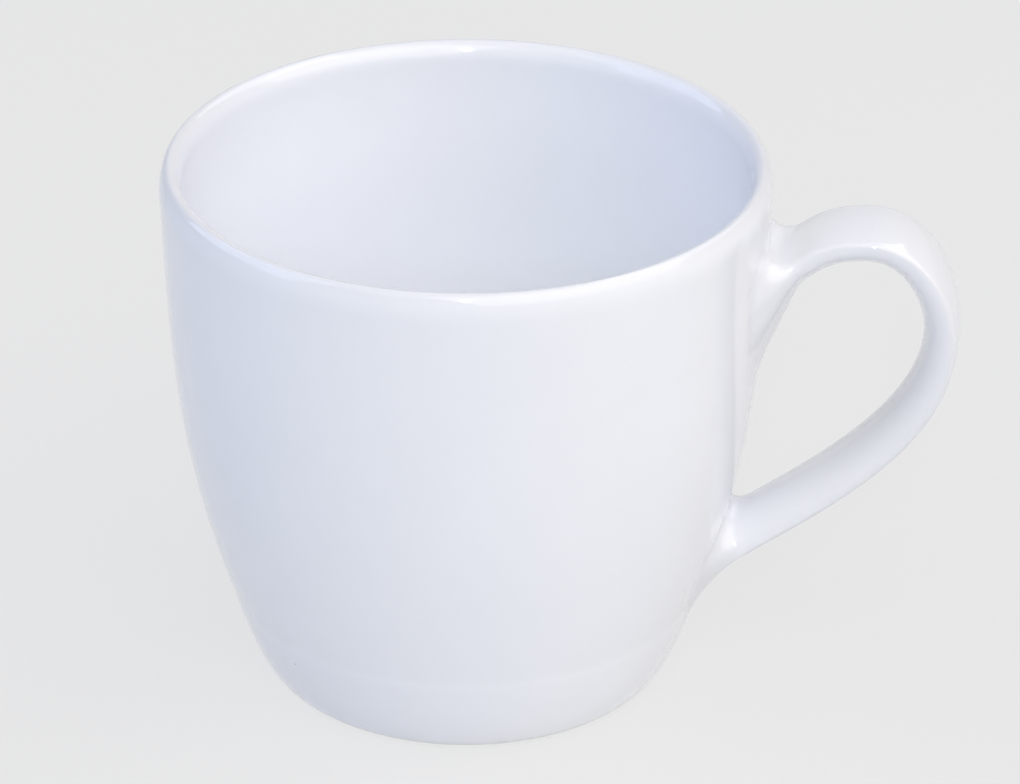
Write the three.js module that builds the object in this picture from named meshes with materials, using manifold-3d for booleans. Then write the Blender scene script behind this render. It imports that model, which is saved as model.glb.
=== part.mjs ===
// Glazed porcelain espresso cup with an ear handle, in millimetres, +Z up.
// The handle points along +X. The origin is in the plane that the cup stands on, at the middle of the
// cup's length and width.
import * as THREE from 'three';
import { mergeVertices } from 'three/addons/utils/BufferGeometryUtils.js';
import Module from 'manifold-3d';

// Bowl: overall sizes
const RIM_RADIUS = 31;
const CUP_HEIGHT = 56.4;
const LIP_THICKNESS = 1.8;
const WALL_THICKNESS = 2.6;
const FLOOR_THICKNESS = 3.4;

// Bowl: the wall leans in from the rim to the crease, where the rounded base begins
const CREASE_RADIUS = 24.6;
const CREASE_HEIGHT = 9.2;
const RIM_LEAN = THREE.MathUtils.degToRad(1.8);
const CREASE_LEAN = THREE.MathUtils.degToRad(17.2);

// Bowl: rounded base, standing ring and the hollow under it
const FOOT_RADIUS = 20.3;
const FOOT_RING_WIDTH = 2.6;
const FOOT_HOLLOW_DEPTH = 1.4;
const FOOT_HOLLOW_SLOPE = 1.1;

// Bowl: flat middle of the floor, inside the rounding that leads up to the wall
const FLOOR_FLAT_RADIUS = 12;

// Handle: centre line, from the upper root over the crown and the outermost point to the lower root
const UPPER_ROOT_DROP = 10.5;
const UPPER_ARM_RISE = THREE.MathUtils.degToRad(26);
const CROWN_RISE = 4.6;
const CROWN_INSET = 8;
const HANDLE_REACH = 17.6;
const OUTERMOST_DROP = 10;
const LOWER_ROOT_HEIGHT = 13.9;
const LOWER_ARM_SLOPE = THREE.MathUtils.degToRad(40);

// Handle: strap section and its flared roots
const STRAP_THICKNESS = 3.85;
const STRAP_WIDTH = 8;
const STRAP_SQUARENESS = 3.1;
const UPPER_FLARE_THICKNESS = 1.7;
const LOWER_FLARE_THICKNESS = 0.6;
const FLARE_WIDTH = 1.6;
const FLARE_LENGTH = 5;

// Handle: how far the untrimmed strap runs on inside the wall, enough for its whole section
const ROOT_DEPTH = STRAP_WIDTH;

// Luted joins: a layer of slip between the wall and each handle end
const SLIP_THICKNESS = 0.5;
const JOIN_GAP = 0.3;

// Fullness of each curve at its start and its end, as shares of the distance that the curve spans
const WALL_FULLNESS = [0.44, 0.364];
const BASE_FULLNESS = [0.56, 0.09];
const FLOOR_FULLNESS = [0.275, 0.64];
const UPPER_ARM_FULLNESS = [0.36, 0.5];
const CROWN_FULLNESS = [0.4, 0.3];
const LOWER_ARM_FULLNESS = [0.364, 0.238];

// Fineness of the facets
const TURN_SEGMENTS = 64;
const WALL_STEPS = 12;
const BASE_STEPS = 7;
const LIP_STEPS = 6;
const STRAP_STEPS = 60;
const STRAP_SIDES = 20;

const wasm = await Module();
wasm.setup();

const porcelain = new THREE.MeshStandardMaterial({ color: 0xe6e9f0, roughness: 0.12, metalness: 0 });
const handlePorcelain = new THREE.MeshStandardMaterial({ color: 0xe8e9f0, roughness: 0.12, metalness: 0 });
const slip = new THREE.MeshStandardMaterial({ color: 0xe4e4e2, roughness: 0.5, metalness: 0 });

// Solid for cutting, from a closed geometry
function solidOf(geometry) {
  const bare = geometry.clone();
  bare.deleteAttribute('normal');
  bare.deleteAttribute('uv');
  const merged = mergeVertices(bare);
  const index = merged.index.array;
  const corners = [];
  for (let i = 0; i < index.length; i += 3) {
    const [a, b, c] = [index[i], index[i + 1], index[i + 2]];
    if (a !== b && b !== c && c !== a) corners.push(a, b, c);
  }
  return new wasm.Manifold(new wasm.Mesh({
    numProp: 3,
    vertProperties: new Float32Array(merged.attributes.position.array),
    triVerts: new Uint32Array(corners),
  }));
}

function geometryOf(solid) {
  const mesh = solid.getMesh();
  const geometry = new THREE.BufferGeometry();
  geometry.setAttribute('position', new THREE.BufferAttribute(mesh.vertProperties, mesh.numProp));
  geometry.setIndex(new THREE.BufferAttribute(mesh.triVerts, 1));
  geometry.computeVertexNormals();
  return geometry;
}

// Solid turned about +Z from a profile of (radius, height) points that starts and ends on the axis
function turned(profile) {
  const geometry = new THREE.LatheGeometry(profile, TURN_SEGMENTS);
  geometry.rotateX(Math.PI / 2);
  return solidOf(geometry);
}

// Direction in the (radius, height) plane that points straight at the axis
const INWARD = new THREE.Vector2(-1, 0);

// Direction in the (radius, height) plane that leans by an angle from straight down towards the axis
function leaning(angle) {
  return new THREE.Vector2(-Math.sin(angle), -Math.cos(angle));
}

// Inner control points of a cubic curve that leaves its start and reaches its end along given directions
function controls(start, leaving, end, reaching, fullness) {
  const span = start.distanceTo(end);
  return [
    start.clone().addScaledVector(leaving, fullness[0] * span),
    end.clone().addScaledVector(reaching, -fullness[1] * span),
  ];
}

// Outer profile, from the rim down: the wall to the crease, then the rounded base to the standing ring
function outerCurves() {
  const lipEdge = new THREE.Vector2(RIM_RADIUS, CUP_HEIGHT - LIP_THICKNESS / 2);
  const crease = new THREE.Vector2(CREASE_RADIUS, CREASE_HEIGHT);
  const foot = new THREE.Vector2(FOOT_RADIUS, 0);
  const wallPull = controls(lipEdge, leaning(RIM_LEAN), crease, leaning(CREASE_LEAN), WALL_FULLNESS);
  const basePull = controls(crease, leaning(CREASE_LEAN), foot, INWARD, BASE_FULLNESS);
  const wall = new THREE.CubicBezierCurve(lipEdge, ...wallPull, crease);
  const base = new THREE.CubicBezierCurve(crease, ...basePull, foot);
  return { wall, base };
}

// Inner profile, from the lip down: the outer wall moved in by its thickness, then rounded to the flat floor
function innerCurves(outerWall) {
  const wall = new THREE.CubicBezierCurve(
    outerWall.v0.clone().addScaledVector(INWARD, LIP_THICKNESS),
    outerWall.v1.clone().addScaledVector(INWARD, WALL_THICKNESS),
    outerWall.v2.clone().addScaledVector(INWARD, WALL_THICKNESS),
    outerWall.v3.clone().addScaledVector(INWARD, WALL_THICKNESS),
  );
  const floorEdge = new THREE.Vector2(FLOOR_FLAT_RADIUS, FOOT_HOLLOW_DEPTH + FLOOR_THICKNESS);
  const floorPull = controls(wall.v3, leaning(CREASE_LEAN), floorEdge, INWARD, FLOOR_FULLNESS);
  const corner = new THREE.CubicBezierCurve(wall.v3, ...floorPull, floorEdge);
  return { wall, corner };
}

// Half circle over the lip, from the outside to the inside, without its two end points
function lipPoints() {
  const radius = LIP_THICKNESS / 2;
  const points = [];
  for (let step = 1; step < LIP_STEPS; step += 1) {
    const angle = Math.PI * step / LIP_STEPS;
    const across = RIM_RADIUS - radius + radius * Math.cos(angle);
    const height = CUP_HEIGHT - radius + radius * Math.sin(angle);
    points.push(new THREE.Vector2(across, height));
  }
  return points;
}

// Points of the outer profile from the standing ring up to the lip, moved out along the surface normal
function outerPoints(curves, offset) {
  const sample = (curve, steps) => Array.from({ length: steps + 1 }, (_, step) => {
    const tangent = curve.getTangent(step / steps);
    const normal = new THREE.Vector2(-tangent.y, tangent.x);
    return curve.getPoint(step / steps).addScaledVector(normal, offset);
  });
  const down = [...sample(curves.wall, WALL_STEPS), ...sample(curves.base, BASE_STEPS).slice(1)];
  return down.reverse();
}

function cupBody(curves) {
  const inner = innerCurves(curves.wall);
  const ringInner = FOOT_RADIUS - FOOT_RING_WIDTH;
  const profile = [
    new THREE.Vector2(0, FOOT_HOLLOW_DEPTH),
    new THREE.Vector2(ringInner - FOOT_HOLLOW_SLOPE, FOOT_HOLLOW_DEPTH),
    new THREE.Vector2(ringInner, 0),
    ...outerPoints(curves, 0),
    ...lipPoints(),
    ...inner.wall.getPoints(WALL_STEPS),
    ...inner.corner.getPoints(BASE_STEPS).slice(1),
    new THREE.Vector2(0, FOOT_HOLLOW_DEPTH + FLOOR_THICKNESS),
  ];
  return turned(profile);
}

// Solid cup shape without its hollow, grown by an offset, for trimming what joins the wall
function grownCup(curves, offset) {
  const points = outerPoints(curves, offset);
  const bottom = new THREE.Vector2(0, points[0].y);
  const top = new THREE.Vector2(0, points[points.length - 1].y);
  return turned([bottom, ...points, top]);
}

// Outer radius of the bowl at a height, on the straight facet that crosses it
function wallRadius(curves, height) {
  const points = outerPoints(curves, 0);
  const above = points.findIndex((point) => point.y > height);
  const [low, high] = [points[above - 1], points[above]];
  const share = (height - low.y) / (high.y - low.y);
  return THREE.MathUtils.lerp(low.x, high.x, share);
}

// Centre line of the strap, in the XZ plane, starting and ending inside the wall
function strapPath(curves) {
  const at = (x, z) => new THREE.Vector3(x, 0, z);
  const out = at(1, 0);
  const down = at(0, -1);
  const rise = at(Math.cos(UPPER_ARM_RISE), Math.sin(UPPER_ARM_RISE));
  const fall = at(-Math.cos(LOWER_ARM_SLOPE), -Math.sin(LOWER_ARM_SLOPE));
  const upperHeight = CUP_HEIGHT - UPPER_ROOT_DROP;
  const outermostX = RIM_RADIUS + HANDLE_REACH;
  const upperRoot = at(wallRadius(curves, upperHeight), upperHeight);
  const crown = at(outermostX - CROWN_INSET, upperHeight + CROWN_RISE);
  const outermost = at(outermostX, crown.z - OUTERMOST_DROP);
  const lowerRoot = at(wallRadius(curves, LOWER_ROOT_HEIGHT), LOWER_ROOT_HEIGHT);
  const upperPull = controls(upperRoot, rise, crown, out, UPPER_ARM_FULLNESS);
  const crownPull = controls(crown, out, outermost, down, CROWN_FULLNESS);
  const lowerPull = controls(outermost, down, lowerRoot, fall, LOWER_ARM_FULLNESS);
  const path = new THREE.CurvePath();
  path.add(new THREE.LineCurve3(upperRoot.clone().addScaledVector(rise, -ROOT_DEPTH), upperRoot));
  path.add(new THREE.CubicBezierCurve3(upperRoot, ...upperPull, crown));
  path.add(new THREE.CubicBezierCurve3(crown, ...crownPull, outermost));
  path.add(new THREE.CubicBezierCurve3(outermost, ...lowerPull, lowerRoot));
  path.add(new THREE.LineCurve3(lowerRoot, lowerRoot.clone().addScaledVector(fall, ROOT_DEPTH)));
  return path;
}

// Strap section: an ellipse with squared shoulders, with its thickness along X and its width along Y
function strapSection() {
  const squared = (share) => Math.sign(share) * Math.abs(share) ** (2 / STRAP_SQUARENESS);
  const points = [];
  for (let side = 0; side < STRAP_SIDES; side += 1) {
    const angle = 2 * Math.PI * side / STRAP_SIDES;
    const x = squared(Math.cos(angle)) * STRAP_THICKNESS / 2;
    const y = squared(Math.sin(angle)) * STRAP_WIDTH / 2;
    points.push(new THREE.Vector2(x, y));
  }
  return new THREE.Shape(points);
}

// Straight bar of the strap section, bent along the centre line and flared towards both roots
function strapBar(curves) {
  const path = strapPath(curves);
  const length = path.getLength();
  const geometry = new THREE.ExtrudeGeometry(strapSection(), {
    depth: 1,
    steps: STRAP_STEPS,
    bevelEnabled: false,
  });
  const position = geometry.attributes.position;
  const across = new THREE.Vector3(0, 1, 0);
  for (let i = 0; i < position.count; i += 1) {
    const share = position.getZ(i);
    const fromEnd = Math.min(share, 1 - share) * length;
    const fromWall = THREE.MathUtils.clamp((fromEnd - ROOT_DEPTH) / FLARE_LENGTH, 0, 1);
    const flare = (1 - fromWall) ** 2;
    const rootThickness = share < 0.5 ? UPPER_FLARE_THICKNESS : LOWER_FLARE_THICKNESS;
    const thicker = 1 + flare * rootThickness / (STRAP_THICKNESS / 2);
    const wider = 1 + flare * FLARE_WIDTH / (STRAP_WIDTH / 2);
    const tangent = path.getTangent(share);
    const point = path.getPoint(share)
      .addScaledVector(across.clone().cross(tangent), position.getX(i) * thicker)
      .addScaledVector(across, position.getY(i) * wider);
    position.setXYZ(i, point.x, point.y, point.z);
  }
  return solidOf(geometry);
}

// Block above or below the middle of the handle, for telling its two roots apart
function halfSpace(upper) {
  const size = 2 * (CUP_HEIGHT + RIM_RADIUS + HANDLE_REACH);
  const middle = (CUP_HEIGHT - UPPER_ROOT_DROP + LOWER_ROOT_HEIGHT) / 2;
  const block = new THREE.BoxGeometry(size, size, size);
  block.translate(0, 0, middle + (upper ? size / 2 : -size / 2));
  return solidOf(block);
}

function named(name, solid, material) {
  const mesh = new THREE.Mesh(geometryOf(solid), material);
  mesh.name = name;
  return mesh;
}

const outer = outerCurves();
const bar = strapBar(outer);
const slipLayer = bar
  .intersect(grownCup(outer, JOIN_GAP + SLIP_THICKNESS))
  .subtract(grownCup(outer, JOIN_GAP));
const handle = bar.subtract(grownCup(outer, JOIN_GAP + SLIP_THICKNESS + JOIN_GAP));

// The bowl's axis is set back from the origin, so that the whole length is centred there
const cup = new THREE.Group();
cup.position.x = -(HANDLE_REACH + STRAP_THICKNESS / 2) / 2;
cup.add(named('cup_body', cupBody(outer), porcelain));
cup.add(named('handle', handle, handlePorcelain));
cup.add(named('upper_slip_joint', slipLayer.intersect(halfSpace(true)), slip));
cup.add(named('lower_slip_joint', slipLayer.intersect(halfSpace(false)), slip));

const part = new THREE.Group();
part.add(cup);

export default part;
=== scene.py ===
"""Visual model of a white glazed espresso cup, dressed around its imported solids.

Shapes are worked out in millimetres with the bowl's axis at x = 0, and are set in the part's frame,
in metres, when a mesh is made.
"""
import logging
import math
from dataclasses import dataclass, field
from enum import Enum
from typing import Any, Union

import bpy
import numpy as np
from bpy.types import ID, Material, Node, NodeSocket, NodeTree, Object
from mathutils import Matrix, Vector


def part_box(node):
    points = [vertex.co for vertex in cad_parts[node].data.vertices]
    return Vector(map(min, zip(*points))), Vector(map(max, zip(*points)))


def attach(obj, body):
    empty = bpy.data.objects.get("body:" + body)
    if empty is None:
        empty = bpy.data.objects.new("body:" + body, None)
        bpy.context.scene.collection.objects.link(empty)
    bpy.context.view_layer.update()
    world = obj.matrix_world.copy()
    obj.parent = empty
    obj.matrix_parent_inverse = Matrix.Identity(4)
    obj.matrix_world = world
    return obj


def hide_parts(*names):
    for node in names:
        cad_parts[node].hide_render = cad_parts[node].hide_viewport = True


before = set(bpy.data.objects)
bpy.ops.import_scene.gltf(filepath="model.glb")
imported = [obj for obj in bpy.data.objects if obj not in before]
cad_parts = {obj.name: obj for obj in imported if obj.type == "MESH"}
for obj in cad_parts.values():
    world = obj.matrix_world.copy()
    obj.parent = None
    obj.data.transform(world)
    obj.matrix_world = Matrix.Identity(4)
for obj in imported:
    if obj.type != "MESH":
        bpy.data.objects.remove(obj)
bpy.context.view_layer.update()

LOG = logging.getLogger("espresso_cup")
MM = 0.001
IMAGE_WIDTH = 1020
BODY_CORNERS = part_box("cup_body")
AXIS_X = (BODY_CORNERS[0].x + BODY_CORNERS[1].x) / 2

# Pull that makes a cubic curve follow a quarter of an ellipse, as a share of its radius
QUARTER_PULL = 0.552

# Level directions in the (radius, height) plane
LEVEL_OUT = (1.0, 0.0)
LEVEL_IN = (-1.0, 0.0)

# Middle of the values that a noise node gives
NOISE_MIDDLE = 0.5

# Kinds of ray that show a surface to the camera
SEEN_RAYS = ("Is Camera Ray", "Is Glossy Ray", "Is Transmission Ray")

# Sockets of the Mix node when it mixes two colours
MIX_FACTOR = 0
MIX_FIRST = 6
MIX_SECOND = 7
MIX_RESULT = 2

Array = np.ndarray
Colour = tuple[float, ...]
Number = Union[float, "Value"]
Pair = tuple[float, float]
Point = Union[Array, Pair]


class Root(Enum):
    """The two ends of the handle, each with the sign of its direction along the centre line."""

    UPPER = 1
    LOWER = -1


class HandlePiece(Enum):
    """The handle's pieces, each with the CAD node that it stands for."""

    UPPER_LUTED_JOIN = "upper_slip_joint"
    EAR_STRAP = "handle"
    LOWER_LUTED_JOIN = "lower_slip_joint"


# Shader sheets

class Value:
    """A number socket of a shader sheet that takes part in Python arithmetic."""

    def __init__(self, sheet: "ShaderSheet", socket: NodeSocket) -> None:
        """Keeps the sheet and the socket."""
        self.sheet = sheet
        self.socket = socket

    def math(self, operation: str, first: Number, second: Number) -> "Value":
        """Adds a Math node with an operation and two operands."""
        node = self.sheet.node("ShaderNodeMath", {"operation": operation}, {0: first, 1: second})
        return Value(self.sheet, node.outputs[0])

    def __add__(self, other: Number) -> "Value":
        """Sum."""
        return self.math("ADD", self, other)

    __radd__ = __add__

    def __sub__(self, other: Number) -> "Value":
        """Difference."""
        return self.math("SUBTRACT", self, other)

    def __rsub__(self, other: Number) -> "Value":
        """Difference, the other way round."""
        return self.math("SUBTRACT", other, self)

    def __mul__(self, other: Number) -> "Value":
        """Product."""
        return self.math("MULTIPLY", self, other)

    __rmul__ = __mul__


class ShaderSheet:
    """The node tree of one material or of the world."""

    def __init__(self, tree: NodeTree) -> None:
        """Keeps the tree and empties it."""
        self.tree = tree
        tree.nodes.clear()

    def node(self, kind: str, settings: dict[str, Any], inputs: dict[Any, Any]) -> Node:
        """Adds a node, with its settings first and then its inputs.

        Args:
            kind: Blender's name of the node's type.
            settings: properties of the node.
            inputs: for each socket's name or number, a value, a Value or an output socket.

        Returns:
            The node.
        """
        made = self.tree.nodes.new(kind)
        for name, setting in settings.items():
            setattr(made, name, setting)
        for key, source in inputs.items():
            given = source.socket if isinstance(source, Value) else source
            if isinstance(given, NodeSocket):
                self.tree.links.new(given, made.inputs[key])
            else:
                made.inputs[key].default_value = given
        return made

    def attribute(self, name: str) -> Value:
        """A number stored on the points of the mesh."""
        node = self.node("ShaderNodeAttribute", {"attribute_name": name}, {})
        return Value(self, node.outputs["Fac"])

    def place(self) -> NodeSocket:
        """Object coordinates, in metres."""
        return self.node("ShaderNodeTexCoord", {}, {}).outputs["Object"]

    def noise(self, scale: float, detail: float) -> Value:
        """Cloudy noise, with so many clouds for each metre and so many finer layers."""
        inputs = {"Vector": self.place(), "Scale": scale, "Detail": detail}
        return Value(self, self.node("ShaderNodeTexNoise", {}, inputs).outputs["Fac"])

    def ease(self, value: Number, low: float, high: float) -> Value:
        """Smooth step, from 0 where the value is low to 1 where it is high."""
        node = self.node("ShaderNodeMapRange", {"interpolation_type": "SMOOTHSTEP"},
                         {"Value": value, "From Min": low, "From Max": high})
        return Value(self, node.outputs["Result"])

    def seen(self) -> Value:
        """1 for rays that show a surface straight, mirrored or through glass, and 0 for light."""
        rays = self.node("ShaderNodeLightPath", {}, {}).outputs
        return sum(Value(self, rays[kind]) for kind in SEEN_RAYS)

    def blend(self, factor: Number, first: Any, second: Any) -> NodeSocket:
        """Colour between a first colour, at factor 0, and a second one, at factor 1."""
        inputs = {MIX_FACTOR: factor, MIX_FIRST: first, MIX_SECOND: second}
        return self.node("ShaderNodeMix", {"data_type": "RGBA"}, inputs).outputs[MIX_RESULT]


@dataclass(frozen=True)
class PorcelainGlaze:
    """Glossy clear glaze over white porcelain, lighter where it lies thick, with a bare standing ring; its
    depth also carries painted light and painted shade.
    """

    name: str = "clear_glaze_on_porcelain"
    # thin and thick are the two ends of the depth scale, which also carries painted light and painted shade
    thin: Colour = (0.81, 0.82, 0.86, 1.0)
    thick: Colour = (0.935, 0.952, 0.988, 1.0)
    biscuit: Colour = (0.72, 0.70, 0.66, 1.0)
    speck: Colour = (0.30, 0.28, 0.27, 1.0)
    gloss_roughness: float = 0.06
    satin_roughness: float = 0.23
    biscuit_roughness: float = 0.6
    coat: float = 0.5
    coat_roughness: float = 0.02
    refraction: float = 1.5
    cloud_noise: Pair = (55.0, 3.0)
    cloud_depth: float = 0.4
    cloud_roughness: float = 0.06
    grain_noise: Pair = (2520.0, 2.0)
    grain_colour: float = 0.6
    grain_relief: float = 2.0
    ripple_noise: Pair = (210.0, 1.0)
    ripple_height: float = 0.000005
    speck_cells: float = 120.0
    speck_size: float = 0.022
    speck_core: float = 0.4
    speck_strength: float = 0.55
    speck_lot: Pair = (0.62, 0.66)

    def material(self) -> Material:
        """Makes the material.

        Returns:
            The glaze, which reads the points' glaze_depth_and_painted_light, bare_clay and satin.
        """
        made = bpy.data.materials.new(self.name)
        made.use_nodes = True
        sheet = ShaderSheet(made.node_tree)
        depth = sheet.attribute("glaze_depth_and_painted_light")
        bare = sheet.attribute("bare_clay")
        satin = sheet.attribute("satin")
        cloud = sheet.noise(*self.cloud_noise) - NOISE_MIDDLE
        grain = sheet.noise(*self.grain_noise)
        # colour from thin to thick glaze by a depth that also holds painted light inside the cup, a painted
        # highlight line at the crease and painted shade in the handle's joins
        glaze = sheet.blend(depth + cloud * self.cloud_depth, self.thin, self.thick)
        glaze = sheet.blend(self.specks(sheet) * self.speck_strength, glaze, self.speck)
        clay = sheet.blend((grain - NOISE_MIDDLE) * self.grain_colour, self.biscuit, self.thick)
        roughness = (
            self.gloss_roughness + cloud * self.cloud_roughness
            + bare * (self.biscuit_roughness - self.gloss_roughness)
            + satin * (self.satin_roughness - self.gloss_roughness)
        )
        ripple = sheet.noise(*self.ripple_noise)
        bump = sheet.node("ShaderNodeBump", {}, {
            "Strength": 1.0,
            "Distance": self.ripple_height,
            "Height": ripple + grain * bare * self.grain_relief,
        })
        shader = sheet.node("ShaderNodeBsdfPrincipled", {}, {
            "Base Color": sheet.blend(bare, glaze, clay),
            "Roughness": roughness,
            "IOR": self.refraction,
            "Coat Weight": self.coat * (1.0 - bare - satin),
            "Coat Roughness": self.coat_roughness,
            "Normal": bump.outputs["Normal"],
        })
        sheet.node("ShaderNodeOutputMaterial", {}, {"Surface": shader.outputs["BSDF"]})
        return made

    def specks(self, sheet: ShaderSheet) -> Value:
        """Pin specks: a dot in the middle of some cells of a loose cell pattern.

        Args:
            sheet: shader sheet that the nodes go on.

        Returns:
            1 in a speck and 0 elsewhere.
        """
        inputs = {"Vector": sheet.place(), "Scale": self.speck_cells}
        cells = sheet.node("ShaderNodeTexVoronoi", {}, inputs).outputs
        parts = sheet.node("ShaderNodeSeparateColor", {}, {0: cells["Color"]}).outputs
        near = Value(sheet, cells["Distance"])
        lot = Value(sheet, parts[0])
        dot = 1.0 - sheet.ease(near, self.speck_core * self.speck_size, self.speck_size)
        return dot * sheet.ease(lot, *self.speck_lot)


@dataclass(frozen=True)
class PaleFloor:
    """Plain pale studio floor that shows evenly pale and keeps a soft shadow."""

    name: str = "pale_floor"
    colour: Colour = (0.835, 0.835, 0.835, 1.0)
    lit_colour: Colour = (0.77, 0.77, 0.77, 1.0)
    even_share: float = 0.82
    mottle_noise: Pair = (9.0, 2.0)
    mottle_swing: float = 0.2
    mottle_share: float = 0.1

    def material(self) -> Material:
        """Makes the material, part of which glows evenly to the camera and to reflections.

        Returns:
            The floor's material.
        """
        made = bpy.data.materials.new(self.name)
        made.use_nodes = True
        sheet = ShaderSheet(made.node_tree)
        mottle = sheet.noise(*self.mottle_noise) - NOISE_MIDDLE
        pale = sheet.blend(mottle * self.mottle_swing + self.mottle_share, self.lit_colour, self.colour)
        lit = sheet.node("ShaderNodeBsdfDiffuse", {}, {"Color": pale})
        even = sheet.node("ShaderNodeEmission", {}, {"Color": self.colour, "Strength": 1.0})
        mixed = sheet.node("ShaderNodeMixShader", {}, {
            0: sheet.seen() * self.even_share,
            1: lit.outputs[0],
            2: even.outputs[0],
        })
        sheet.node("ShaderNodeOutputMaterial", {}, {"Surface": mixed.outputs[0]})
        return made


# Curves and surfaces

def cubic(start: Point, first_pull: Point, second_pull: Point, end: Point, count: int) -> Array:
    """Cubic curve: the four points weighted by the terms of (1 - t + t) cubed, at even steps of t.

    Args:
        start: first point, or an array of first points for many curves at once.
        first_pull: point that the curve leaves towards.
        second_pull: point that the curve arrives from.
        end: last point.
        count: number of points.

    Returns:
        Array of points, one row for each step.
    """
    corners = [np.asarray(corner, float) for corner in (start, first_pull, second_pull, end)]
    share = np.linspace(0.0, 1.0, count).reshape((count,) + (1,) * corners[0].ndim)
    rest = 1.0 - share
    weights = (rest ** 3, 3 * rest ** 2 * share, 3 * rest * share ** 2, share ** 3)
    return sum(weight * corner for weight, corner in zip(weights, corners))


def directed(start: Point, leaving: Point, end: Point, reaching: Point, fullness: Pair, count: int) -> Array:
    """Cubic curve that leaves and arrives along given directions.

    Args:
        start: first point.
        leaving: direction at the start.
        end: last point.
        reaching: direction at the end.
        fullness: pulls at the start and the end, as shares of the distance between the points.
        count: number of points.

    Returns:
        Array of points, one row each.
    """
    span = np.linalg.norm(np.subtract(end, start))
    first_pull = np.asarray(start) + np.asarray(leaving) * fullness[0] * span
    second_pull = np.asarray(end) - np.asarray(reaching) * fullness[1] * span
    return cubic(start, first_pull, second_pull, end, count)


def leaning(degrees: float) -> Array:
    """Direction in the (radius, height) plane that leans from straight down towards the axis."""
    angle = math.radians(degrees)
    return np.array([-math.sin(angle), -math.cos(angle)])


def level(start: float, end: float, height: float, count: int) -> Array:
    """Level run of (radius, height) points at even steps."""
    return np.stack([np.linspace(start, end, count), np.full(count, height)], 1)


def unit(vectors: Array) -> Array:
    """Vectors made one long, along the last axis."""
    return vectors / np.linalg.norm(vectors, axis=-1, keepdims=True)


def bell(offset: Array, width: float) -> Array:
    """Bell curve: e to the power of minus the square of the offset over the width."""
    return np.exp(-(offset / width) ** 2)


def smooth_step(share: Array) -> Array:
    """Step from 0 to 1 with level ends: three times the square less twice the cube of the clipped share."""
    held = np.clip(share, 0.0, 1.0)
    return held ** 2 * (3 - 2 * held)


def add_object(name: str, data: ID) -> Object:
    """Adds an object to the scene, at the origin.

    Args:
        name: the object's name.
        data: its mesh, lamp or camera.

    Returns:
        The object.
    """
    made = bpy.data.objects.new(name, data)
    bpy.context.scene.collection.objects.link(made)
    return made


@dataclass
class RingSurface:
    """Closed surface of rings of points, with a fan of triangles to a tip at each end."""

    name: str
    rings: Array
    first_tip: Array
    last_tip: Array
    numbers: dict[str, Array]
    normals: Union[Array, None] = None

    def faces(self) -> list[list[int]]:
        """Corner numbers: four-sided faces between neighbouring rings, and the two fans.

        Returns:
            The corners of each face, in order.
        """
        count, around = self.rings.shape[:2]
        here = np.arange(count * around).reshape(count, around)
        turned = np.roll(here, -1, axis=1)
        quads = np.stack([here[:-1], turned[:-1], turned[1:], here[1:]], -1).reshape(-1, 4)
        first = np.full(around, count * around)
        first_fan = np.stack([first, turned[0], here[0]], -1)
        last_fan = np.stack([first + 1, here[-1], turned[-1]], -1)
        return quads.tolist() + first_fan.tolist() + last_fan.tolist()

    def turns_outwards(self) -> bool:
        """Whether the faces between the rings turn outwards.

        Returns:
            True where the sum of their corners' triple products is above 0.
        """
        rings = self.rings - self.rings.mean((0, 1))
        turned = np.roll(rings, -1, axis=1)
        crossed = np.cross(turned[:-1] - rings[1:], turned[1:])
        return (rings[:-1] * crossed).sum() > 0

    def build(self) -> Object:
        """Puts the surface into a mesh, with its faces outwards.

        Returns:
            The object, at the origin of the part's frame.
        """
        if not self.turns_outwards():
            self.rings = self.rings[:, ::-1]
            self.normals = None if self.normals is None else self.normals[:, ::-1]
            self.numbers = {key: number[:, ::-1] for key, number in self.numbers.items()}
        tips = np.stack([self.first_tip, self.last_tip])
        points = np.concatenate([self.rings.reshape(-1, 3), tips]) * MM
        points[:, 0] += AXIS_X
        mesh = bpy.data.meshes.new(self.name)
        mesh.from_pydata(points.tolist(), [], self.faces())
        mesh.polygons.foreach_set("use_smooth", np.ones(len(mesh.polygons), bool))
        for key, number in self.numbers.items():
            stored = mesh.attributes.new(key, "FLOAT", "POINT")
            values = np.concatenate([number.reshape(-1), [number[0].mean(), number[-1].mean()]])
            stored.data.foreach_set("value", values.astype(np.float32))
        mesh.update()
        if self.normals is not None:
            tip_normals = unit(tips - self.rings.mean((0, 1)))
            normals = np.concatenate([self.normals.reshape(-1, 3), tip_normals])
            mesh.normals_split_custom_set_from_vertices(normals.tolist())
        return add_object(self.name, mesh)


def settle(piece: Object, material: Material, node: str) -> None:
    """Gives a piece its material and its place in the part.

    Args:
        piece: finished piece.
        material: its finish.
        node: CAD node that it stands for.
    """
    piece.data.materials.append(material)
    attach(piece, "root")
    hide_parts(node)
    LOG.info("%s stands for %s with %d faces", piece.name, node, len(piece.data.polygons))


# The bowl

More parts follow.
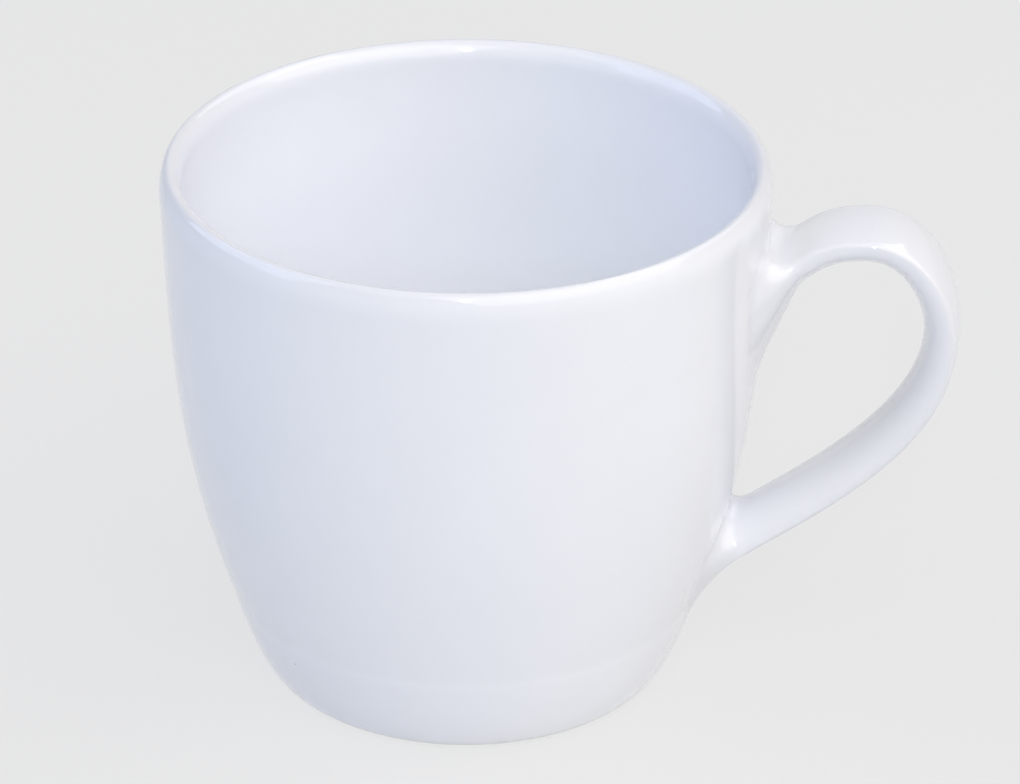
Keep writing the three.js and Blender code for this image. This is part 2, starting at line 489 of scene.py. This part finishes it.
@dataclass(frozen=True)
class BowlGlaze:
    """How the glaze lies on the bowl, with painted light inside and a painted highlight at the crease:
    depths are shares of a full glaze, and distances are in mm.
    """

    plain: float = 0.7
    # painted light: the inside of the bowl is made lighter all over
    inside_painted_light: float = 0.12
    crest_less: float = 0.65
    crest_fade: float = 0.7
    corner_more: float = 0.3
    corner_radius: float = 19.0
    corner_height: float = 6.0
    corner_fade: Pair = (3.5, 3.0)
    foot_more: float = 0.3
    foot_fade: float = 0.8
    # painted highlight: a light line along the crease where the wall meets the base
    crease_painted_highlight: float = 0.15
    crease_fade: float = 0.6
    wall_margin: float = 0.3
    bare_height: float = 0.25
    bare_margin: float = 0.5
    satin_drop: float = 0.3
    satin_rise: float = 2.6
    satin_depth: float = 11.0

    def depth(self, bowl: "Bowl", profile: Array) -> Array:
        """Depth of the glaze, with painted light: thin over the lip, thick in the floor's corner and at the
        foot, deeper all over the inside as painted light, and a painted highlight line at the crease.

        Args:
            bowl: the bowl that it lies on.
            profile: (radius, height) points.

        Returns:
            A share from 0 to 1 for each point.
        """
        radius, height = profile.T
        outside = np.abs(radius - bowl.radius_at(height)) <= self.wall_margin
        crest = bell(bowl.height - height, self.crest_fade)
        corner = bell(radius - self.corner_radius, self.corner_fade[0])
        corner = corner * bell(height - self.corner_height, self.corner_fade[1]) * ~outside
        foot = bell(height, self.foot_fade) * outside
        # the crease bell is a painted highlight line, and the inside share below is painted light
        crease = bell(height - bowl.crease_height, self.crease_fade) * outside
        depth = self.plain + self.inside_painted_light * bowl.within(profile) - self.crest_less * crest
        depth = depth + self.corner_more * corner + self.foot_more * foot + self.crease_painted_highlight * crease
        return np.clip(depth, 0.0, 1.0)

    def bare(self, bowl: "Bowl", profile: Array) -> Array:
        """1 on the standing ring, which is wiped clean of glaze, fading out over its rounded edges."""
        on_ring = np.clip(1.0 - profile[:, 1] / self.bare_height, 0.0, 1.0)
        return on_ring * (profile[:, 0] < bowl.foot_radius + self.bare_margin)

    def satin(self, bowl: "Bowl", profile: Array) -> Array:
        """Share of satin glaze: 1 on the inner wall under the lip, fading out towards the floor."""
        below = bowl.height - self.satin_drop - profile[:, 1]
        return bowl.within(profile) * smooth_step(below / self.satin_rise) * bell(below, self.satin_depth)


@dataclass
class Bowl:
    """The formed bowl: lip, wall, rounded base, standing ring, hollow underside and floor in one clay."""

    rim_radius: float = 31.0
    height: float = 56.4
    lip_thickness: float = 2.3
    edge_drop: float = 0.9
    lip_outer_width: float = 1.05
    lip_depth: float = 2.0
    wall_thickness: float = 2.6
    floor_height: float = 4.8
    floor_flat_radius: float = 12.0
    crease_radius: float = 24.6
    crease_height: float = 9.3
    crease_softness: float = 1.0
    rim_lean: float = 1.8
    wall_lean: float = 18.4
    base_lean: float = 15.6
    foot_radius: float = 20.3
    ring_width: float = 2.6
    ring_round: float = 0.45
    hollow_depth: float = 1.4
    hollow_slope: float = 1.1
    hollow_round: float = 0.8
    slope_inset: float = 0.2
    slope_direction: Pair = (0.4, -0.92)
    tip_radius: float = 0.3
    wall_fullness: Pair = (0.44, 0.364)
    base_fullness: Pair = (0.54, 0.09)
    floor_fullness: Pair = (0.275, 0.64)
    slope_fullness: Pair = (0.5, 0.3)
    ring_fullness: Pair = (0.4, 0.5)
    glaze: BowlGlaze = BowlGlaze()
    fine_rows: int = 900
    wall_rows: int = 64
    lip_rows: int = 17
    inner_rows: int = 48
    floor_corner_rows: int = 22
    flat_rows: int = 5
    slope_rows: int = 10
    ring_edge_rows: int = 7
    ring_rows: int = 8
    around: int = 448
    fine_profile: Array = field(init=False)

    def __post_init__(self) -> None:
        """Keeps a fine run of the outer profile for what joins the wall."""
        self.fine_profile = self.outer_profile(self.fine_rows)[::-1]

    def crease(self) -> Array:
        """Where the wall meets the base, before the corner is rounded."""
        return np.array([self.crease_radius, self.crease_height])

    def wall_curve(self, count: int) -> Array:
        """Outer wall as one cubic curve of so many points, from the lip's edge to the crease."""
        edge = (self.rim_radius, self.height - self.edge_drop)
        return directed(edge, leaning(self.rim_lean), self.crease(), leaning(self.wall_lean),
                        self.wall_fullness, count)

    def outer_profile(self, count: int) -> Array:
        """Outer wall from the lip to the standing ring, with a soft crease where the base begins.

        The wall and the base are cubic curves that meet at the crease at slightly different leans, and
        a short parabola through points on both rounds the corner between them.

        Args:
            count: points on the wall; the base has a third as many, and the crease a twelfth.

        Returns:
            Array of (radius, height) points.
        """
        crease = self.crease()
        foot = (self.foot_radius, 0.0)
        wall = self.wall_curve(count)
        base = directed(crease, leaning(self.base_lean), foot, LEVEL_IN, self.base_fullness, count // 3)
        wall = wall[np.linalg.norm(wall - crease, axis=1) > self.crease_softness]
        base = base[np.linalg.norm(base - crease, axis=1) > self.crease_softness]
        share = np.linspace(0.0, 1.0, count // 12)[1:-1, None]
        corner = (1 - share) ** 2 * wall[-1] + 2 * share * (1 - share) * crease + share ** 2 * base[0]
        return np.concatenate([wall, corner, base])

    def inner_profile(self) -> Array:
        """Inside from the lip to the middle of the floor: the wall's curve, moved in by its thickness.

        The move runs from the lip's thickness to the wall's by the cube of the way that is left.

        Returns:
            Array of (radius, height) points.
        """
        wall = self.wall_curve(self.inner_rows)
        left = np.linspace(1.0, 0.0, self.inner_rows)
        wall[:, 0] -= self.wall_thickness + (self.lip_thickness - self.wall_thickness) * left ** 3
        flat = level(self.floor_flat_radius, self.tip_radius, self.floor_height, self.flat_rows)
        corner = directed(wall[-1], leaning(self.wall_lean), flat[0], LEVEL_IN, self.floor_fullness,
                          self.floor_corner_rows)
        return np.concatenate([wall, corner[1:], flat[1:]])

    def rounding(self, side: Array, crest: Array) -> Array:
        """Half of the lip: a quarter of an ellipse from the end of a side to the level crest.

        Args:
            side: points of the outer or inner wall, the last one nearest the lip.
            crest: highest point of the lip.

        Returns:
            Points from the side's end to the crest.
        """
        start = side[-1]
        rising = unit(start - side[-2])
        first_pull = start + QUARTER_PULL * (crest[1] - start[1]) * rising
        second_pull = crest + QUARTER_PULL * np.array([start[0] - crest[0], 0.0])
        return cubic(start, first_pull, second_pull, crest, self.lip_rows)

    def with_lip(self, outside: Array, inside: Array) -> Array:
        """Joins the outer and the inner wall by the rounded lip.

        Args:
            outside: outer profile, from the foot up.
            inside: inner profile, from the lip down.

        Returns:
            The profile from the foot over the lip to the middle of the floor.
        """
        crest = np.array([self.rim_radius - self.lip_outer_width, self.height])
        outside = outside[outside[:, 1] < self.height - self.lip_depth]
        inside = inside[inside[:, 1] < self.height - self.lip_depth]
        outer_half = self.rounding(outside, crest)
        inner_half = self.rounding(inside[::-1], crest)[::-1]
        return np.concatenate([outside, outer_half[1:], inner_half[1:-1], inside])

    def underside(self) -> Array:
        """Hollow underside and standing ring, from the axis out to the base, with rounded ring edges.

        Returns:
            Array of (radius, height) points.
        """
        ring_inner = self.foot_radius - self.ring_width
        hollow_edge = ring_inner - self.hollow_slope - self.hollow_round
        slope_end = (ring_inner - self.slope_inset, self.ring_round)
        ring_start = (ring_inner + self.ring_round, 0.0)
        steep = self.slope_direction
        flat = level(self.tip_radius, hollow_edge, self.hollow_depth, self.flat_rows)
        slope = directed(flat[-1], LEVEL_OUT, slope_end, steep, self.slope_fullness, self.slope_rows)
        edge = directed(slope[-1], steep, ring_start, LEVEL_OUT, self.ring_fullness, self.ring_edge_rows)
        ring = level(edge[-1, 0], self.foot_radius, 0.0, self.ring_rows)
        return np.concatenate([flat, slope[1:], edge[1:], ring[1:-1]])

    def profile(self) -> Array:
        """Whole profile, from the axis under the bowl round the outside and the lip to the axis inside."""
        outside = self.outer_profile(self.wall_rows)[::-1]
        return np.concatenate([self.underside(), self.with_lip(outside, self.inner_profile())])

    def radius_at(self, height: Array) -> Array:
        """Outer radius at each height, read off the fine profile."""
        return np.interp(height, self.fine_profile[:, 1], self.fine_profile[:, 0])

    def within(self, profile: Array) -> Array:
        """Whether each (radius, height) point lies further in from the outer wall than the lip's crest."""
        return self.radius_at(profile[:, 1]) - profile[:, 0] > self.lip_outer_width

    def on_wall(self, azimuth: Array, height: Array) -> Array:
        """Points of the outer wall: its radius at each height, turned to each azimuth."""
        radius = self.radius_at(height)
        return np.stack([radius * np.cos(azimuth), radius * np.sin(azimuth), height], -1)

    def wall_frame(self, azimuth: Array, height: Array) -> tuple[Array, Array, Array]:
        """Directions on the outer wall.

        Args:
            azimuth: angles about the axis.
            height: heights.

        Returns:
            The directions round the wall, up along it and out of it, from the slope of its profile.
        """
        step = 0.2
        slope = (self.radius_at(height + step) - self.radius_at(height - step)) / (2 * step)
        nothing = np.zeros_like(azimuth)
        sideways = np.stack([-np.sin(azimuth), np.cos(azimuth), nothing], -1)
        upward = unit(np.stack([slope * np.cos(azimuth), slope * np.sin(azimuth), nothing + 1.0], -1))
        return sideways, upward, np.cross(sideways, upward)

    def build(self) -> RingSurface:
        """Turns the profile about the axis: each ring is its radius times cosine and sine, at its height.

        Returns:
            The bowl's surface.
        """
        profile = self.profile()
        angle = np.linspace(0.0, 2 * math.pi, self.around, endpoint=False)
        radius = profile[:, :1]
        height = np.repeat(profile[:, 1:], self.around, axis=1)
        rings = np.stack([radius * np.cos(angle), radius * np.sin(angle), height], -1)
        shares = {
            "glaze_depth_and_painted_light": self.glaze.depth(self, profile),
            "bare_clay": self.glaze.bare(self, profile),
            "satin": self.glaze.satin(self, profile),
        }
        numbers = {name: np.repeat(share[:, None], self.around, axis=1) for name, share in shares.items()}
        first_tip = np.array([0.0, 0.0, profile[0, 1]])
        last_tip = np.array([0.0, 0.0, profile[-1, 1]])
        return RingSurface("bowl", rings, first_tip, last_tip, numbers)

    def dress(self, material: Material) -> None:
        """Makes the bowl and settles it over its CAD node."""
        settle(self.build().build(), material, "cup_body")


# The handle

@dataclass(frozen=True)
class Fillet:
    """How far the clay is smoothed out round one root, in mm, on the strap and on the wall."""

    strap_hole: float
    strap_outside: float
    strap_edge: float
    wall_hole: float
    wall_outside: float
    wall_edge: float
    bulge: float
    fullness: float = 0.5
    edge_softness: float = 0.2
    ease_height: float = 0.82

    def spread(self, across: Array, hole: float, outside: float, edge: float) -> Array:
        """Reach by the cosine of the section's angle: 1 at the hole's side, 0 at an edge, -1 outside."""
        ease = (np.hypot(across, self.edge_softness) - self.edge_softness) / self.ease_height
        return edge + ease * (np.where(across > 0, hole, outside) - edge)

    def on_strap(self, across: Array) -> Array:
        """Reach along the strap at each angle of its section."""
        return self.spread(across, self.strap_hole, self.strap_outside, self.strap_edge)

    def on_wall(self, across: Array) -> Array:
        """Reach along the wall at each angle of the strap's section."""
        return self.spread(across, self.wall_hole, self.wall_outside, self.wall_edge)


@dataclass(frozen=True)
class Join:
    """A smoothed join: rows from the wall to the strap, normals at the first and places of the last."""

    rows: Array
    wall_normals: Array
    last: Array


@dataclass(frozen=True)
class HandleGlaze:
    """How the glaze lies on the handle, with painted shade in the joins; distances from a foot are shares of
    a join's length.
    """

    plain: float = 0.65
    # painted shade: darker halfway up the joins, where the strap meets the wall
    join_painted_shade: float = 0.65
    edge_less: float = 0.5
    edge_start: float = 0.5
    satin_share: float = 0.32

    def depth(self, from_foot: Array, sharpness: Array) -> Array:
        """Depth of the glaze: painted shade halfway up the joins, where the strap meets the wall, and thin
        glaze over the strap's edges.

        Args:
            from_foot: distance of each row from the nearer foot.
            sharpness: how sharply the section turns at each of its points.

        Returns:
            A share from 0 to 1 for each point.
        """
        # painted shade halfway up each join
        join = np.sin(math.pi * np.clip(from_foot, 0.0, 1.0))[:, None]
        free = np.clip(from_foot - self.edge_start, 0.0, 1.0)[:, None]
        return np.clip(self.plain - self.join_painted_shade * join - self.edge_less * free * sharpness, 0.0, 1.0)

    def satin(self, from_lower_foot: Array) -> Array:
        """Share of satin glaze in each row: 1 at the lower join's foot, fading by a smooth step."""
        return 1.0 - smooth_step(from_lower_foot / self.satin_share)


@dataclass
class EarHandle:
    """The ear handle: a rounded strap swept along its centre line, and the two smoothed luted joins."""

    bowl: Bowl
    upper_root_drop: float = 10.5
    upper_arm_rise: float = 26.0
    crown_rise: float = 4.6
    crown_inset: float = 8.0
    reach: float = 17.85
    outermost_drop: float = 10.0
    lower_root_height: float = 13.9
    lower_arm_slope: float = 40.0
    thickness: float = 3.76
    width: float = 9.6
    outer_dome: float = 0.45
    edge_height: float = 0.55
    inner_squareness: float = 1.95
    edge_softness: float = 0.55
    inward_shift: float = 0.4
    lead_in: float = 14.0
    search_margin: float = 0.5
    slope_step: float = 0.1
    sink: float = 0.5
    tip_depth: float = 0.9
    upper_arm_fullness: Pair = (0.36, 0.5)
    crown_fullness: Pair = (0.4, 0.3)
    lower_arm_fullness: Pair = (0.364, 0.238)
    upper_fillet: Fillet = Fillet(
        strap_hole=4.4, strap_outside=2.8, strap_edge=5.4,
        wall_hole=9.5, wall_outside=1.7, wall_edge=5.2,
        bulge=0.5,
    )
    lower_fillet: Fillet = Fillet(
        strap_hole=3.2, strap_outside=4.6, strap_edge=5.0,
        wall_hole=2.4, wall_outside=3.4, wall_edge=4.4,
        bulge=0.0,
    )
    glaze: HandleGlaze = HandleGlaze()
    around: int = 128
    strap_rows: int = 220
    fillet_rows: int = 26
    outline_points: int = 401
    fine_steps: int = 16
    arm_points: int = 300
    lower_arm_points: int = 500
    search_steps: int = 1500
    line: Array = field(init=False)
    distance: Array = field(init=False)
    tangent: Array = field(init=False)
    section_x: Array = field(init=False)
    section_y: Array = field(init=False)
    across: Array = field(init=False)
    upper_join: Join = field(init=False)
    lower_join: Join = field(init=False)

    def __post_init__(self) -> None:
        """Works out the centre line, the section and the two joins."""
        self.trace_centre_line()
        self.draw_section()
        self.upper_join = self.smoothed(Root.UPPER, self.upper_fillet)
        self.lower_join = self.smoothed(Root.LOWER, self.lower_fillet)

    def draw_section(self) -> None:
        """Section with a shallow dome outside and a full round towards the hole.

        The dome is a parabola over the width, and the round is half of an ellipse with squared shoulders.
        The outline is taken in even steps, and each of its points is replaced by the bell-weighted mean of
        its neighbours, which rounds the two outer shoulders.
        """
        outside = -self.thickness / 2 + self.inward_shift
        springing = outside + self.outer_dome + self.edge_height
        span = np.linspace(1.0, -1.0, self.outline_points)
        dome = np.stack([outside + self.outer_dome * span ** 2, span * self.width / 2], 1)
        turn = np.linspace(-math.pi / 2, math.pi / 2, self.outline_points)
        power = 2 / self.inner_squareness
        bulge = np.abs(np.cos(turn)) ** power * (self.thickness / 2 + self.inward_shift - springing)
        reach = np.sign(turn) * np.abs(np.sin(turn)) ** power * self.width / 2
        bulge_side = np.stack([springing + bulge, reach], 1)
        middle = len(turn) // 2
        outline = np.concatenate([bulge_side[middle:], dome, bulge_side[:middle + 1]])
        steps = np.hypot(*np.diff(outline, axis=0).T)
        travelled = np.concatenate([[0.0], np.cumsum(steps)])
        fine = self.around * self.fine_steps
        even = np.linspace(0.0, travelled[-1], fine, endpoint=False)
        weights = bell(np.minimum(even, travelled[-1] - even), self.edge_softness)
        spectrum = np.fft.rfft(weights / weights.sum())
        sides = [np.interp(even, travelled, side) for side in outline.T]
        soft = [np.fft.irfft(np.fft.rfft(side) * spectrum, fine) for side in sides]
        self.section_x = soft[0][::self.fine_steps]
        self.section_y = soft[1][::self.fine_steps]
        self.across = np.cos(np.arctan2(self.section_y / self.width, self.section_x / self.thickness))

    def sharpness(self) -> Array:
        """How sharply the section's outline turns at each point, as a share of its sharpest turn.

        Returns:
            The angle between each step and the one before it, divided by the greatest.
        """
        outline = self.section_x + 1j * self.section_y
        step = np.roll(outline, -1) - outline
        turn = np.abs(np.angle(step * np.roll(step, 1).conj()))
        return turn / turn.max()

    def trace_centre_line(self) -> None:
        """Centre line in the (x, z) plane: three cubic curves, run on straight into the wall."""
        root_height = self.bowl.height - self.upper_root_drop
        outermost_x = self.bowl.rim_radius + self.reach
        upper = np.array([float(self.bowl.radius_at(root_height)), root_height])
        crown = np.array([outermost_x - self.crown_inset, root_height + self.crown_rise])
        outermost = np.array([outermost_x, crown[1] - self.outermost_drop])
        lower = np.array([float(self.bowl.radius_at(self.lower_root_height)), self.lower_root_height])
        rise = np.radians(self.upper_arm_rise)
        fall = np.radians(self.lower_arm_slope)
        rising = np.array([np.cos(rise), np.sin(rise)])
        falling = np.array([-np.cos(fall), -np.sin(fall)])
        down = (0.0, -1.0)
        arm = directed(upper, rising, crown, LEVEL_OUT, self.upper_arm_fullness, self.arm_points)
        bend = directed(crown, LEVEL_OUT, outermost, down, self.crown_fullness, self.arm_points)
        lower_arm = directed(outermost, down, lower, falling, self.lower_arm_fullness,
                             self.lower_arm_points)
        before = upper - rising * self.lead_in
        after = lower + falling * self.lead_in
        self.line = np.concatenate([[before], arm, bend[1:], lower_arm[1:], [after]])
        steps = np.linalg.norm(np.diff(self.line, axis=0), axis=1)
        self.distance = np.concatenate([[0.0], np.cumsum(steps)])
        inner_tangent = np.gradient(self.line[1:-1], self.distance[1:-1], axis=0)
        self.tangent = unit(np.concatenate([[rising], [rising], inner_tangent[1:-1], [falling], [falling]]))

    def on_strap(self, distance: Array) -> Array:
        """Points of the swept strap: the centre line plus the section along its normal and across it.

        Args:
            distance: distances along the centre line, with one column for each point of the section.

        Returns:
            Array of points with one more axis.
        """
        centre_x, centre_z = (np.interp(distance, self.distance, side) for side in self.line.T)
        tangent_x, tangent_z = (np.interp(distance, self.distance, side) for side in self.tangent.T)
        length = np.hypot(tangent_x, tangent_z)
        x = centre_x + self.section_x * tangent_z / length
        z = centre_z - self.section_x * tangent_x / length
        return np.stack([x, np.broadcast_to(self.section_y, x.shape), z], -1)

    def section_normals(self, distance: Array) -> Array:
        """Outward directions of the section's outline at each point, in space.

        Args:
            distance: a distance along the centre line for each point of the section.

        Returns:
            One direction for each point.
        """
        slope_x = np.roll(self.section_x, -1) - np.roll(self.section_x, 1)
        slope_y = np.roll(self.section_y, -1) - np.roll(self.section_y, 1)
        flat = unit(np.stack([slope_y, -slope_x], -1))
        tangent_x, tangent_z = (np.interp(distance, self.distance, side) for side in self.tangent.T)
        return np.stack([flat[:, 0] * tangent_z, flat[:, 1], -flat[:, 0] * tangent_x], -1)

    def meeting(self, root: Root) -> Array:
        """Where each line of the strap meets the wall, as a distance along the centre line.

        The lines are followed outwards in fine steps, and the step that crosses the wall's radius is
        divided in the ratio of the two misses.

        Args:
            root: which end.

        Returns:
            One distance for each point of the section.
        """
        start = self.lead_in if root is Root.UPPER else self.distance[-1] - self.lead_in
        outward = np.linspace(self.search_margin - self.lead_in, self.lead_in, self.search_steps)[:, None]
        distance = start + root.value * outward * np.ones(self.around)
        points = self.on_strap(distance)
        miss = np.hypot(points[..., 0], points[..., 1]) - self.bowl.radius_at(points[..., 2])
        after = np.argmax(miss > 0, axis=0)
        column = np.arange(self.around)
        share = miss[after - 1, column] / (miss[after - 1, column] - miss[after, column])
        return distance[after - 1, column] + share * (distance[after, column] - distance[after - 1, column])

    def run_out(self, corner: Array, away: Array, fillet: Fillet) -> tuple[Array, Array]:
        """Where each line of a join runs out: the fillet's reach from the corner, along the wall.

        Args:
            corner: points where the strap's lines meet the wall.
            away: outward directions of the strap's section there.
            fillet: how far the join reaches.

        Returns:
            The points on the wall, and the wall's normals at them.
        """
        azimuth = np.arctan2(corner[:, 1], corner[:, 0])
        sideways, upward, _ = self.bowl.wall_frame(azimuth, corner[:, 2])
        along = np.stack([(away * sideways).sum(-1), (away * upward).sum(-1)], -1)
        along = unit(along) * fillet.on_wall(self.across)[:, None]
        height = corner[:, 2] + along[:, 1] * upward[:, 2]
        foot = self.bowl.on_wall(azimuth + along[:, 0] / self.bowl.radius_at(height), height)
        foot_azimuth = np.arctan2(foot[:, 1], foot[:, 0])
        return foot, self.bowl.wall_frame(foot_azimuth, foot[:, 2])[2]

    def smoothed(self, root: Root, fillet: Fillet) -> Join:
        """Smoothed join: a cubic curve for each line of the strap, tangent to the wall and to the strap.

        A swelling away from the wall is added, greatest halfway up the curves and at the hole's side.

        Args:
            root: which end.
            fillet: how far the join reaches.

        Returns:
            The join.
        """
        meeting = self.meeting(root)
        corner = self.on_strap(meeting)
        strap_reach = fillet.on_strap(self.across)
        last = meeting + root.value * strap_reach
        strap = self.on_strap(last)
        foot, normal = self.run_out(corner, self.section_normals(meeting), fillet)
        towards = corner - foot
        towards = towards - (towards * normal).sum(-1, keepdims=True) * normal
        inward = unit(self.on_strap(last - root.value * self.slope_step) - strap)
        first_pull = foot + fillet.fullness * towards
        second_pull = strap + fillet.fullness * strap_reach[:, None] * inward
        share = np.linspace(0.0, 1.0, self.fillet_rows)[:, None, None]
        halfway = (4 * share * (1.0 - share)) ** 2
        swelling = fillet.bulge * ((1.0 + self.across) / 2)[:, None] * normal
        rows = cubic(foot, first_pull, second_pull, strap, self.fillet_rows) + halfway * swelling
        LOG.info("%s root smoothed along %d lines", root.name.lower(), self.around)
        return Join(rows, normal, last)

    def grid_normals(self, grid: Array) -> Array:
        """Outward normals across the whole grid, with the wall's own normals where the joins run out on it.

        Args:
            grid: rows of points from the upper foot to the lower one.

        Returns:
            One normal for each point.
        """
        down = np.gradient(grid, axis=0)
        sideways = np.roll(grid, -1, axis=1) - np.roll(grid, 1, axis=1)
        normals = unit(np.cross(sideways, down))
        normals[0] = self.upper_join.wall_normals
        normals[-1] = self.lower_join.wall_normals
        return normals

    def build(self) -> list[RingSurface]:
        """The upper join, the strap and the lower join, cut from one grid so that their edges agree.

        Returns:
            The three surfaces, with normals taken across the whole grid.
        """
        upper = self.upper_join
        lower = self.lower_join
        share = np.linspace(0.0, 1.0, self.strap_rows)[:, None]
        strap = self.on_strap(upper.last + share * (lower.last - upper.last))
        grid = np.concatenate([upper.rows, strap[1:-1], lower.rows[::-1]])
        normals = self.grid_normals(grid)
        row = np.arange(len(grid))
        length = self.fillet_rows - 1
        depth = self.glaze.depth(np.minimum(row, row[::-1]) / length, self.sharpness())
        satin = np.repeat(self.glaze.satin(row[::-1] / length)[:, None], self.around, axis=1)
        numbers = {"glaze_depth_and_painted_light": depth, "bare_clay": np.zeros_like(depth), "satin": satin}
        spans = {
            HandlePiece.UPPER_LUTED_JOIN: row[:self.fillet_rows],
            HandlePiece.EAR_STRAP: row[length:-length],
            HandlePiece.LOWER_LUTED_JOIN: row[::-1][:self.fillet_rows],
        }
        pieces = []
        for kind, span in spans.items():
            cut = {name: number[span] for name, number in numbers.items()}
            pieces.append(self.piece(kind, grid[span], normals[span], cut))
        return pieces

    def piece(self, kind: HandlePiece, rows: Array, normals: Array,
              numbers: dict[str, Array]) -> RingSurface:
        """One closed piece of the handle; the first ring of a join is carried on into the wall.

        Args:
            kind: which piece.
            rows: its rings, from the wall outwards where it is a join.
            normals: their normals.
            numbers: what the glaze reads at each point.

        Returns:
            The surface, closed by a tip inside the clay at both ends.
        """
        first_tip = rows[0].mean(0)
        if kind is not HandlePiece.EAR_STRAP:
            height = rows[0, :, 2].mean(keepdims=True)
            first_tip = self.bowl.on_wall(np.zeros(1), height)[0] - np.array([self.tip_depth, 0.0, 0.0])
            rows = np.concatenate([rows[:1] - self.sink * normals[:1], rows])
            normals = np.concatenate([normals[:1], normals])
            numbers = {name: np.concatenate([number[:1], number]) for name, number in numbers.items()}
        return RingSurface(kind.name.lower(), rows, first_tip, rows[-1].mean(0), numbers, normals)

    def dress(self, material: Material) -> None:
        """Makes the strap and the joins and settles each over its CAD node."""
        for surface, kind in zip(self.build(), HandlePiece):
            settle(surface.build(), material, kind.value)


# The studio

def direction(azimuth: float, elevation: float) -> Vector:
    """Direction from the cup to a viewpoint; azimuth 0 is in front and 90 on the handle's side."""
    turn, rise = math.radians(azimuth), math.radians(elevation)
    return Vector((math.cos(rise) * math.sin(turn), -math.cos(rise) * math.cos(turn), math.sin(rise)))


def aim(placed: Object, target: Vector, away: Vector, distance: float) -> None:
    """Sets a lamp or a camera at a distance from its target, in a direction, and turns it to the target."""
    placed.location = target + distance * away
    placed.rotation_euler = away.to_track_quat("Z", "Y").to_euler()


@dataclass(frozen=True)
class SoftLamp:
    """An area lamp aimed at the cup, placed by angles as a camera is."""

    name: str
    azimuth: float
    elevation: float
    distance: float
    width: float
    length: float
    watts: float
    colour: Colour

    def place(self, target: Vector) -> None:
        """Adds the lamp.

        Args:
            target: point that it is aimed at.
        """
        lamp = bpy.data.lights.new(self.name, "AREA")
        lamp.shape = "RECTANGLE"
        lamp.size = self.width
        lamp.size_y = self.length
        lamp.energy = self.watts
        lamp.color = self.colour
        away = direction(self.azimuth, self.elevation)
        aim(add_object(self.name, lamp), target, away, self.distance)


@dataclass
class Studio:
    """Floor, lamps, surrounding light and the camera at the photograph's viewing angle."""

    camera_azimuth: float = 6.8
    camera_elevation: float = 27.84
    camera_distance: float = 0.52135
    focal_pixels: float = 5062.0
    middle_pixel: float = 466.3
    target_height: float = 0.030
    sensor_width: float = 36.0
    floor: PaleFloor = PaleFloor()
    floor_half: float = 3.0
    floor_drop: float = 0.00002
    world_colour: Colour = (0.86, 0.91, 1.0, 1.0)
    world_strength: float = 0.02
    lamps: tuple[SoftLamp, ...] = (
        SoftLamp(name="key_softbox", azimuth=50.0, elevation=40.0, distance=1.1,
                 width=1.9, length=1.2, watts=9.7, colour=(1.0, 0.93, 0.87)),
        SoftLamp(name="fill_softbox", azimuth=-85.0, elevation=32.0, distance=1.2,
                 width=1.3, length=1.0, watts=6.1, colour=(0.58, 0.70, 1.0)),
        SoftLamp(name="top_softbox", azimuth=10.0, elevation=75.0, distance=1.1,
                 width=1.8, length=1.8, watts=5.8, colour=(1.0, 0.93, 0.80)),
        SoftLamp(name="back_softbox", azimuth=125.0, elevation=48.0, distance=1.2,
                 width=1.0, length=0.8, watts=3.4, colour=(0.80, 0.84, 1.0)),
        SoftLamp(name="front_lamp", azimuth=6.8, elevation=31.0, distance=0.8,
                 width=0.034, length=0.2, watts=1.35, colour=(0.68, 0.82, 1.0)),
    )

    def target(self) -> Vector:
        """Point on the bowl's axis that the camera looks at."""
        return Vector((AXIS_X, 0.0, self.target_height))

    def build(self) -> None:
        """Adds the floor, the lamps, the world and the camera."""
        self.lay_floor()
        for lamp in self.lamps:
            lamp.place(self.target())
        self.light_world()
        self.set_camera()
        bpy.context.scene.view_settings.view_transform = "Standard"

    def lay_floor(self) -> None:
        """A flat square just under the standing ring."""
        half = self.floor_half
        low = -self.floor_drop
        corners = [(-half, -half, low), (half, -half, low), (half, half, low), (-half, half, low)]
        mesh = bpy.data.meshes.new("studio_floor")
        mesh.from_pydata(corners, [], [(0, 1, 2, 3)])
        mesh.materials.append(self.floor.material())
        add_object("studio_floor", mesh)

    def light_world(self) -> None:
        """Even, slightly cool light from all round, which shows as pale as the floor."""
        world = bpy.data.worlds.new("studio_surround")
        bpy.context.scene.world = world
        world.use_nodes = True
        sheet = ShaderSheet(world.node_tree)
        light = sheet.node("ShaderNodeBackground", {}, {
            "Color": self.world_colour,
            "Strength": self.world_strength,
        })
        pale = sheet.node("ShaderNodeBackground", {}, {"Color": self.floor.colour, "Strength": 1.0})
        shaders = {0: sheet.seen(), 1: light.outputs[0], 2: pale.outputs[0]}
        mixed = sheet.node("ShaderNodeMixShader", {}, shaders)
        sheet.node("ShaderNodeOutputWorld", {}, {"Surface": mixed.outputs[0]})

    def set_camera(self) -> None:
        """A long lens at the photograph's angle, shifted to set the bowl's axis left of the middle."""
        lens = bpy.data.cameras.new("photograph_view")
        lens.sensor_fit = "HORIZONTAL"
        lens.sensor_width = self.sensor_width
        lens.lens = self.focal_pixels / IMAGE_WIDTH * self.sensor_width
        lens.shift_x = (IMAGE_WIDTH / 2 - self.middle_pixel) / IMAGE_WIDTH
        camera = add_object("photograph_view", lens)
        away = direction(self.camera_azimuth, self.camera_elevation)
        aim(camera, self.target(), away, self.camera_distance)
        bpy.context.scene.camera = camera


def main() -> None:
    """Builds the cup's pieces in order, then the studio round them."""
    logging.basicConfig(level=logging.INFO, format="%(message)s")
    glaze = PorcelainGlaze().material()
    bowl = Bowl()
    bowl.dress(glaze)
    EarHandle(bowl).dress(glaze)
    Studio().build()


if __name__ == "__main__":
    main()
